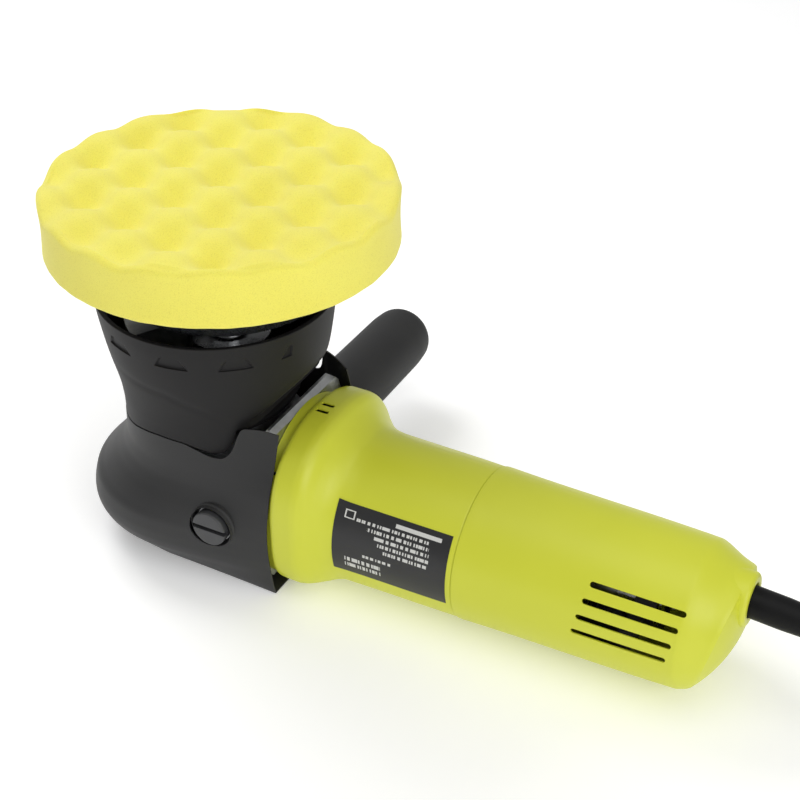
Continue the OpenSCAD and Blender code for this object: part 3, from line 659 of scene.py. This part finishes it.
# %% Skirt
SKIRT = [[60, 43.7], [74, 43.9], [80, 44.4], [86, 45.2], [92, 46.4], [98, 47.8], [106, 49.4],
         [114, 50.7], [121, 51.7], [126, 52.2]]
SKIRT_LOW = [[-70, 67.7], [-30, 68.3], [-23, 69.5], [-14, 71.7], [-3, 73.1], [6, 72.8],
             [12.5, 71], [17, 69.4], [20.5, 68.6], [23, 69], [25.2, 71], [27, 74],
             [28.9, 80.8], [60, 80.8]]
# Height and distance of the flat back from the spindle
SKIRT_BACK = [[60, 34], [84, 34], [98, 48], [104, 56], [130, 80]]
RIM_Z, SKIRT_WALL, SKIRT_COLS = 126.0, 2.4, 640
MARK_STEP, MARK_FIRST, MARK_LOW, MARK_HIGH = 31.0, -29.5, 114.4, 119.9
MARK_HALF, MARK_LEAN, MARK_DEPTH = 7.4, 0.62, 0.9


def skirt_radius(a, z):
    """Soft minimum of the flare's radius and the flat back's distance along angle a,
    less the pressed marks: a trapezium, wide below, whose sides lean in."""
    flare = smooth(z, SKIRT)[..., 0]
    ahead = np.maximum(np.cos(a), 1e-3)
    flat = np.interp(z, *np.array(SKIRT_BACK).T) / ahead
    r = (flare**-26 + flat**-26) ** (-1 / 26.0)
    turn = (np.degrees(a) - MARK_FIRST + MARK_STEP / 2) % MARK_STEP - MARK_STEP / 2
    across = np.abs(np.radians(turn)) * 51.0
    half = MARK_HALF - (z - MARK_LOW - 0.2) * MARK_LEAN
    mask = (np.clip((half - across) / 0.45, 0, 1) * np.clip((z - MARK_LOW) / 0.3, 0, 1)
            * np.clip((MARK_HIGH - z) / 0.5, 0, 1))
    off_the_back = np.cos(a) < 0.94
    return r - MARK_DEPTH * mask * off_the_back


def forward(z):
    """How far the flare leans forward: it grows with height to 0.9 mm at the rim."""
    return 0.9 * np.clip((z - 84) / 40, 0, 1)


print("rim radius:", skirt_radius(np.array(3.0), np.array(RIM_Z)).round(2))

# %% [markdown]
# ## Building the skirt
# The lower edge is settled like the cover's. Rows are close together across the marks,
# so that their edges stay crisp. A faint crease dips across the side, where the rubber
# folds, and the inside is the same skirt moved in by its wall.

# %% Build the skirt
a = np.linspace(0, 2 * np.pi, SKIRT_COLS, endpoint=False)[None]
low = np.full_like(a, 72.0)
for _ in range(SETTLING_STEPS):
    low = smooth(skirt_radius(a, low) * np.cos(a), SKIRT_LOW)[..., 0]
rise = np.linspace(0, 1, 30)[:, None]
zs = np.concatenate([low + (113.8 - low) * rise[:-1],
                     np.arange(113.8, 120.6, 0.28)[:, None] + 0 * a,
                     np.linspace(121, RIM_Z - 0.3, 6)[:, None] + 0 * a])
rs = skirt_radius(a, zs)
degrees = np.degrees((a + np.pi) % (2 * np.pi) - np.pi)
crease_at = np.interp(degrees, [-125, -112, -86, -65, -55], [101, 100, 98.6, 91, 86])
fade = np.clip(1.4 - np.abs((degrees + 90) / 30), 0, 1)
rs = rs - 0.35 * fade * np.exp(-((zs - crease_at) / 1.6) ** 2)
outer = np.stack([rs * np.cos(a) - forward(zs), rs * np.sin(a), zs], -1)


def skirt_row(drop, z):
    """A row of the skirt moved in by drop, at height z."""
    r = skirt_radius(a, np.broadcast_to(z, a.shape)) - drop
    z = np.broadcast_to(z, a.shape)
    return np.stack([r * np.cos(a) - forward(z), r * np.sin(a), z], -1)


inner = [skirt_row(0.25, RIM_Z), skirt_row(2.0, RIM_Z), skirt_row(2.3, RIM_Z - 0.4)]
inner += [skirt_row(SKIRT_WALL, z) for z in (118.0, 108.0, 98.0, 90.0)]
inner += [skirt_row(SKIRT_WALL, low * t + 90 * (1 - t)) for t in (0.4, 0.8, 1.0)]
skirt = skin("skirt_shell", [np.concatenate([outer, *inner, outer[:1]])])
place(skirt, "tool", "skirt_black", "shroud")
deck = skin("skirt_deck", [turned(rounded([(73.2, 41.2), (75.2, 41.2), (75.2, 26.7),
                                           (73.2, 26.7), (73.2, 41.2)], 0.4), 128, "z")])
deck.data.transform(Matrix.Diagonal((0.78, 1, 1, 1)))
place(deck, "tool", "skirt_black")

# %% [markdown]
# ## The barrel
# The motor housing starts as a tall, squarish collar behind the gear case and flows into
# a slim round barrel. Each section is a superellipse, |y/a|^n + |z/b|^n = 1, whose size
# and squareness come from a table along the barrel.

# %% Stations of the motor housing
BAR_Z, JOINT_X, HOUSING_WALL = 34.6, 131.0, 2.4
# Along, half-width, middle height, rise, fall, squareness above, squareness below
COLLAR = [[42.3, 39.4, 36, 42.4, 33.4, 2.05, 3.4], [46.9, 39.4, 36, 42.6, 33.4, 2.05, 3.4],
          [47.4, 40.6, 39.6, 39.8, 38, 2.28, 3.4], [48.2, 41.5, 41, 38.9, 39.8, 2.36, 3.4],
          [50, 42.1, 42, 38.2, 41, 2.4, 3.4], [57, 42.2, 42, 38.2, 41.2, 2.4, 3.4],
          [59.8, 41.9, 41.9, 37.9, 41, 2.4, 3.3], [62.4, 40.8, 41.3, 37.2, 40.3, 2.38, 3.15],
          [66, 38.6, 39, 35.8, 38.4, 2.2, 2.7], [70.4, 36.4, 36.4, 35.2, 36.2, 2.05, 2.2],
          [75, 35.2, 35, 34.8, 34.9, 2, 2], [81, 34.6, 34.6, 34.6, 34.6, 2, 2],
          [130.1, 33.85, 34.6, 33.85, 33.85, 2, 2], [130.8, 33.4, 34.6, 33.4, 33.4, 2, 2]]


def barrel_section(x, turns=288):
    """Superellipse sections at the stations x, one row each."""
    wide, mid, up, down, n_up, n_down = np.moveaxis(smooth(x, COLLAR), -1, 0)[..., None]
    a = np.linspace(0, 2 * np.pi, turns, endpoint=False)
    c, s = np.cos(a), np.sin(a)
    n = np.where(s >= 0, n_up, n_down)
    tall = np.where(s >= 0, up, down)
    y = wide * np.sign(c) * np.abs(c) ** (2 / n)
    z = mid + tall * np.sign(s) * np.abs(s) ** (2 / n)
    return np.stack([np.broadcast_to(x[:, None], y.shape), y, z], -1)


print("collar width:", 2 * smooth([55.0], COLLAR)[0, 0].round(1))

# %% [markdown]
# ## Building the barrel
# Sections stand close together over the collar, where the shape changes fast, and far
# apart along the plain barrel. Two narrow pockets for the mould's sliders are cut in the
# collar's top.

# %% Build the motor housing
stations = np.concatenate([[42.3, 44.5, 46.7, 46.9, 47.1, 47.4, 47.8, 48.2, 49, 50],
                           np.arange(50.8, 82, 0.7), np.arange(83, 129.5, 2.5),
                           [129.7, 130.1, 130.4, 130.8]])
barrel = walled(skin("motor_housing_shell", [barrel_section(stations)]), HOUSING_WALL)
for y_slot in (-3.8, 1.4):
    pocket = np.array([[[x, y_slot + w, z] for x, w in
                        ((50.4, -1.1), (55.6, -1.1), (56.1, -0.6), (56.1, 0.6),
                         (55.6, 1.1), (50.4, 1.1), (49.9, 0.6), (49.9, -0.6))]
                       for z in (70.0, 70.0, 88.0, 88.0)])
    pocket[0, :] = pocket[0].mean(0)
    pocket[-1, :] = pocket[-1].mean(0)
    cut(barrel, skin("pocket", [pocket]))
place(barrel, "tool", "housing_yellow", "motor_housing")

# %% [markdown]
# ## The rear cover
# The tail is a lathe shape that ends in a slanting, slightly domed face with a boss for
# the cord. Along each angle, the profile is followed inwards until it meets the dome (a
# big ball's surface), and then the dome is followed to the middle. The meeting point is
# found by halving, for all angles at once.

# %% The tail's profile and dome
TAIL = [[131, 34.2], [131.4, 34.5], [133.5, 34.2], [227.5, 32.2], [230.5, 31.3], [234.5, 29.4],
        [239.5, 27.2], [245.5, 25.6], [257.5, 24.8]]
BALL_AT, BALL_R, BOSS_Z, HALVINGS = (191.6, 44.0), 56.0, 50.0, 40


def dome(y, z):
    """Distance along the barrel of the ball's surface over a point of the end face."""
    return BALL_AT[0] + np.sqrt(np.maximum(BALL_R**2 - y**2 - (z - BALL_AT[1]) ** 2, 0))


a = np.linspace(0, 2 * np.pi, 288, endpoint=False)
near, far = np.full_like(a, 215.0), np.full_like(a, 255.0)
for _ in range(HALVINGS):
    mid = (near + far) / 2
    r = smooth(mid, TAIL)[..., 0]
    past = mid > dome(r * np.cos(a), BAR_Z + r * np.sin(a))
    near, far = np.where(past, near, mid), np.where(past, mid, far)
meet_x, meet_r = near, smooth(near, TAIL)[..., 0]
print("the profile meets the dome at x =", meet_x.min().round(1), "to", meet_x.max().round(1))

# %% [markdown]
# ## Building the rear cover
# The profile's rows and the dome's rows make one skin. The wall is given before the
# boss is joined on, because the boss is solid round its bore. A wider angle limit keeps
# the tail's bevels crisp.

# %% Build the rear cover
TAIL_EDGE = 24.0
go = np.concatenate([np.linspace(0, 0.80, 44), np.linspace(0.80, 0.992, 26)[1:]])[:, None]
xs = JOINT_X + (meet_x - JOINT_X) * go
rs = smooth(xs, TAIL)[..., 0]
body_rows = np.stack([xs, rs * np.cos(a), BAR_Z + rs * np.sin(a)], -1)
inward = np.concatenate([[0.985, 0.96], np.linspace(0.92, 0.06, 20), [0.0]])[:, None]
ye, ze = inward * meet_r * np.cos(a), BAR_Z + inward * meet_r * np.sin(a)
face_rows = np.stack([dome(ye, ze), ye, ze], -1)
tail = walled(skin("rear_cover_shell", [np.concatenate([body_rows, face_rows])],
                   TAIL_EDGE), HOUSING_WALL, TAIL_EDGE)
boss = skin("boss", [turned(rounded([(232, 0), (232, 11.9), (247.4, 11.6), (248.6, 10.4),
                                     (248.6, 7.4), (233, 7.4), (233, 0)], 0.8), 96, "x",
                            (0, 0, BOSS_Z))])
cut(tail, skin("bore", [turned([(226, 0), (226, 7.2), (262, 7.2), (262, 0)], 72, "x",
                               (0, 0, BOSS_Z))]), angle=TAIL_EDGE)
cut(tail, boss, "UNION", angle=TAIL_EDGE)

# %% [markdown]
# ## Vents
# Four slots a side let the fan's air out. Each cutter is a flat bar with round ends,
# swung round the barrel's axis; the slots step back a little as they climb.

# %% Vents
VENT_LONG, VENT_WIDE, VENT_X = 40.4, 2.5, 205.0


def slot_cutter(length, wide, deep, at, turn=0.0):
    """A flat bar with round ends, laid along the barrel; turn swings it round the axis."""
    h = wide / 2
    q = np.linspace(-np.pi / 2, np.pi / 2, 9)
    outline = np.concatenate([
        np.stack([length / 2 - h + h * np.cos(q), h * np.sin(q)], -1),
        np.stack([-length / 2 + h - h * np.cos(q), -h * np.sin(q)], -1)])
    rows = np.array([[[x, d, z] for x, z in outline] for d in (0, 0, deep, deep)], float)
    rows[0], rows[-1] = rows[0].mean(0), rows[-1].mean(0)
    c, s = math.cos(turn), math.sin(turn)
    spin = np.array([[1, 0, 0], [0, c, -s], [0, s, c]])
    return skin("slot", [rows @ spin.T + np.array(at, float)])


for side in (1, -1):
    for lift in (-2, 11, 24, 37):
        turn = math.radians(lift if side > 0 else 180 - lift)
        middle = VENT_X + lift * 0.11
        outward = np.array([0, math.cos(turn), math.sin(turn)])
        cut(tail, slot_cutter(VENT_LONG, VENT_WIDE, 20,
                              np.array([middle, 0, BAR_Z]) + outward * 22, turn),
            angle=TAIL_EDGE)
place(tail, "tool", "housing_yellow", "rear_cover")

# %% [markdown]
# ## Cord guard and side handle
# Both are lathe shapes. The guard is a tapered rubber sleeve that keeps the cord from
# kinking where it leaves the boss. The handle is a plain round grip with a soft end.

# %% Guard and grip
def guard_grid():
    """The guard's profile turned about its own axis, which points four degrees down."""
    profile = rounded([(-5.9, 4.1), (-5.9, 9), (-2.5, 9), (-2.5, 6.8), (22, 6.8), (54.6, 5.45),
                       (56, 4.8), (56, 4.1), (-5.9, 4.1)], 0.7)
    flat = turned(profile, 72, "x")
    dip = math.radians(4)
    c, s = math.cos(dip), math.sin(dip)
    return flat @ np.array([[c, 0, s], [0, 1, 0], [-s, 0, c]]).T + np.array([240, 0, 50.0])


place(skin("cord_sleeve", [guard_grid()]), "tool", "cord_black", "cord_guard")
grip = skin("side_grip", [turned(rounded([(45.8, 4.1), (45.8, 8.4), (52.2, 8.4), (52.2, 14.2),
                                     (53.4, 15.8), (60, 16.3), (122, 15.8), (131, 14.8),
                                     (135.6, 11.2), (137.4, 5), (137.4, 0)], 2.8, 6), 128,
                                 "y", HANDLE_AT)])
place(grip, "tool", "grip_black", "side_handle_grip")

# %% [markdown]
# ## The rating label
# The real label is black film with small pale print. Only its rhythm is kept: rows of
# short pale dashes, a pale strip and a small open box, with no letters or marks. The film
# is a thin closed patch with its own UV map, so the print follows the barrel's curve.

# %% Label film
LABEL_X, LABEL_TURN = (74.8, 128.2), np.radians([-18.5, 38.4])
LABEL_COLS, LABEL_ROWS = 60, 70


def label_grid(lift):
    """Patch of the barrel lifted off it; angles are measured up from the side."""
    u = np.linspace(0, 1, LABEL_COLS)
    v = np.linspace(0, 1, LABEL_ROWS)[:, None]
    x = LABEL_X[0] + (LABEL_X[1] - LABEL_X[0]) * u + 0 * v
    up = LABEL_TURN[0] + (LABEL_TURN[1] - LABEL_TURN[0]) * v + 0 * u
    row = smooth(x, COLLAR)
    r = row[..., 0] + lift
    return np.stack([x, -r * np.cos(up), row[..., 1] + r * np.sin(up)], -1)


label_mesh = bpy.data.meshes.new("label_film")
front, rear = label_grid(0.16), label_grid(0.03)
count = front.shape[0] * front.shape[1]
face_list = quads(*front.shape[:2], False)
numbers = np.arange(count).reshape(LABEL_ROWS, LABEL_COLS)
edge = np.concatenate([numbers[0], numbers[1:, -1], numbers[-1, -2::-1], numbers[-2:0:-1, 0]])
after = np.roll(edge, -1)
rim = np.stack([edge, after, after + count, edge + count], -1)
label_mesh.from_pydata((np.concatenate([front, rear]).reshape(-1, 3) * MM).tolist(), [],
                       [*face_list[:, ::-1].tolist(), *(face_list + count).tolist(),
                        *rim.tolist()])
grid_u = np.tile(np.tile(np.linspace(0, 1, LABEL_COLS), LABEL_ROWS), 2)
grid_v = np.tile(np.repeat(np.linspace(0, 1, LABEL_ROWS), LABEL_COLS), 2)
corners = np.zeros(len(label_mesh.loops), np.int32)
label_mesh.loops.foreach_get("vertex_index", corners)
uv = label_mesh.uv_layers.new(name="print")
uv.data.foreach_set("uv", np.stack([grid_u[corners], grid_v[corners]], -1).ravel())
merged(label_mesh, 0.001)
soften(label_mesh, 50)
label = bpy.data.objects.new("label_film", label_mesh)
bpy.context.scene.collection.objects.link(label)
print("label film:", len(label_mesh.polygons), "faces")

# %% [markdown]
# ## The label's print
# Print is part of the film's colour, not of its shape. Masks from the film's own UV map
# do it: boxes set where a row stands, and a noise along the row breaks it into dashes.

# %% Label print
def calc(tree, kind, *values):
    """A Math node fed with sockets or plain numbers."""
    node = tree.nodes.new("ShaderNodeMath")
    node.operation = kind
    for k, v in enumerate(values):
        if isinstance(v, (int, float)):
            node.inputs[k].default_value = v
        else:
            wire(tree, v, node.inputs[k])
    return node.outputs[0]


def box_mask(tree, u, v, middle, half):
    """One inside a box of the UV square, zero outside."""
    inside = [calc(tree, "LESS_THAN", calc(tree, "ABSOLUTE", calc(tree, "SUBTRACT", w, m)), h)
              for w, m, h in ((u, middle[0], half[0]), (v, middle[1], half[1]))]
    return calc(tree, "MULTIPLY", *inside)


def label_finish():
    """Black film with pale dashes: rows from boxes in v, words from noise along u."""
    m = finish("label", (0.012, 0.012, 0.013), (0.018, 0.018, 0.019), (0.34, 0.42),
               coarse=40, fine=3000, strength=0.04)
    tree = m.node_tree
    shader = tree.nodes["Principled BSDF"]
    uv_node, split = tree.nodes.new("ShaderNodeUVMap"), tree.nodes.new("ShaderNodeSeparateXYZ")
    uv_node.uv_map = "print"
    wire(tree, uv_node.outputs["UV"], split.inputs[0])
    u, v = split.outputs[0], split.outputs[1]
    marks = None
    rows = [(0.50, 0.82, 0.40, 0.020), (0.56, 0.74, 0.34, 0.022), (0.60, 0.66, 0.30, 0.022),
            (0.62, 0.58, 0.28, 0.022), (0.64, 0.50, 0.24, 0.022), (0.40, 0.36, 0.16, 0.020),
            (0.27, 0.245, 0.20, 0.030), (0.27, 0.15, 0.20, 0.030)]
    for n, (cu, cv, hu, hv) in enumerate(rows):
        dash = tree.nodes.new("ShaderNodeTexNoise")
        dash.noise_dimensions = "1D"
        dash.inputs["Detail"].default_value = 0.0
        dash.inputs["Scale"].default_value = 46.0
        wire(tree, calc(tree, "ADD", u, 7.3 * n), dash.inputs["W"])
        row = calc(tree, "MULTIPLY", calc(tree, "GREATER_THAN", dash.outputs["Fac"], 0.46),
                   box_mask(tree, u, v, (cu, cv), (hu * 0.8, hv)))
        marks = row if marks is None else calc(tree, "MAXIMUM", marks, row)
    for cu, cv, hu, hv in ((0.72, 0.90, 0.20, 0.026), (0.12, 0.86, 0.045, 0.055)):
        marks = calc(tree, "MAXIMUM", marks, box_mask(tree, u, v, (cu, cv), (hu, hv)))
    hole = box_mask(tree, u, v, (0.12, 0.86), (0.033, 0.041))
    marks = calc(tree, "MULTIPLY", marks, calc(tree, "SUBTRACT", 1.0, hole))
    blend = tree.nodes.new("ShaderNodeMix")
    blend.data_type = "RGBA"
    wire(tree, marks, blend.inputs["Factor"])
    wire(tree, shader.inputs["Base Color"].links[0].from_socket, blend.inputs[6])
    blend.inputs[7].default_value = (0.62, 0.62, 0.60, 1.0)
    wire(tree, blend.outputs[2], shader.inputs["Base Color"])


label_finish()
place(label, "tool", "label", "rating_label")

# %% [markdown]
# ## The CAD parts that stay
# The gear train, the motor, the bearings and the screws keep their CAD shapes. Each takes
# the finish of the slot that the record names for it.

# %% Finish the carried-over parts
for part in frame["record"]["subparts"]:
    node = frame["nodes"][part["node"]]
    node.data.materials.clear()
    node.data.materials.append(FINISH[part["material_slot"]])

# %% [markdown]
# ## Bench and light
# A white bench glows faintly, so that it stays white under the soft light. Three panels
# and a white world give an even light: one panel is behind on the left for the
# pad's relief, one above, and one in front on the right for the black parts.

# %% Bench
bench_mesh = bpy.data.meshes.new("bench")
BENCH, BENCH_TOP = 6.0, -0.0004
bench_mesh.from_pydata([(x * BENCH, y * BENCH, BENCH_TOP) for x, y in
                        ((-1, -1), (1, -1), (1, 1), (-1, 1))], [], [(0, 1, 2, 3)])
bench = bpy.data.objects.new("bench", bench_mesh)
bpy.context.scene.collection.objects.link(bench)
white = bpy.data.materials.new("bench_white")
white.use_nodes = True
white_shader = white.node_tree.nodes["Principled BSDF"]
for socket, value in (("Base Color", (0.96, 0.96, 0.96, 1)), ("Roughness", 0.75),
                      ("Specular IOR Level", 0.2), ("Emission Color", (1, 1, 1, 1)),
                      ("Emission Strength", 0.22)):
    white_shader.inputs[socket].default_value = value
bench_mesh.materials.append(white)
print("bench is", [round(side, 1) for side in bench.dimensions], "m")

# %% [markdown]
# ## Soft light
# The panels are large and close, so that shadows stay soft and the satin plastic shows a
# long, low highlight.

# %% Lights and world
AIM = Vector((0.10, 0.0, 0.06))
for name, place_at, size, power in (("key_panel", (-0.75, 0.35, 0.95), 0.6, 6.5),
                                    ("top_panel", (0.30, -0.35, 1.5), 1.1, 5.0),
                                    ("side_panel", (1.2, -0.7, 0.75), 0.8, 7.0)):
    light = bpy.data.lights.new(name, "AREA")
    light.size, light.energy = size, power
    lamp = bpy.data.objects.new(name, light)
    lamp.location = place_at
    lamp.rotation_euler = (AIM - Vector(place_at)).to_track_quat("-Z", "Y").to_euler()
    bpy.context.scene.collection.objects.link(lamp)
world = bpy.data.worlds.new("soft_white")
world.use_nodes = True
world.node_tree.nodes["Background"].inputs["Color"].default_value = (1, 1, 1, 1)
world.node_tree.nodes["Background"].inputs["Strength"].default_value = 0.42
bpy.context.scene.world = world
print("lights:", sorted(bpy.data.lights.keys()))
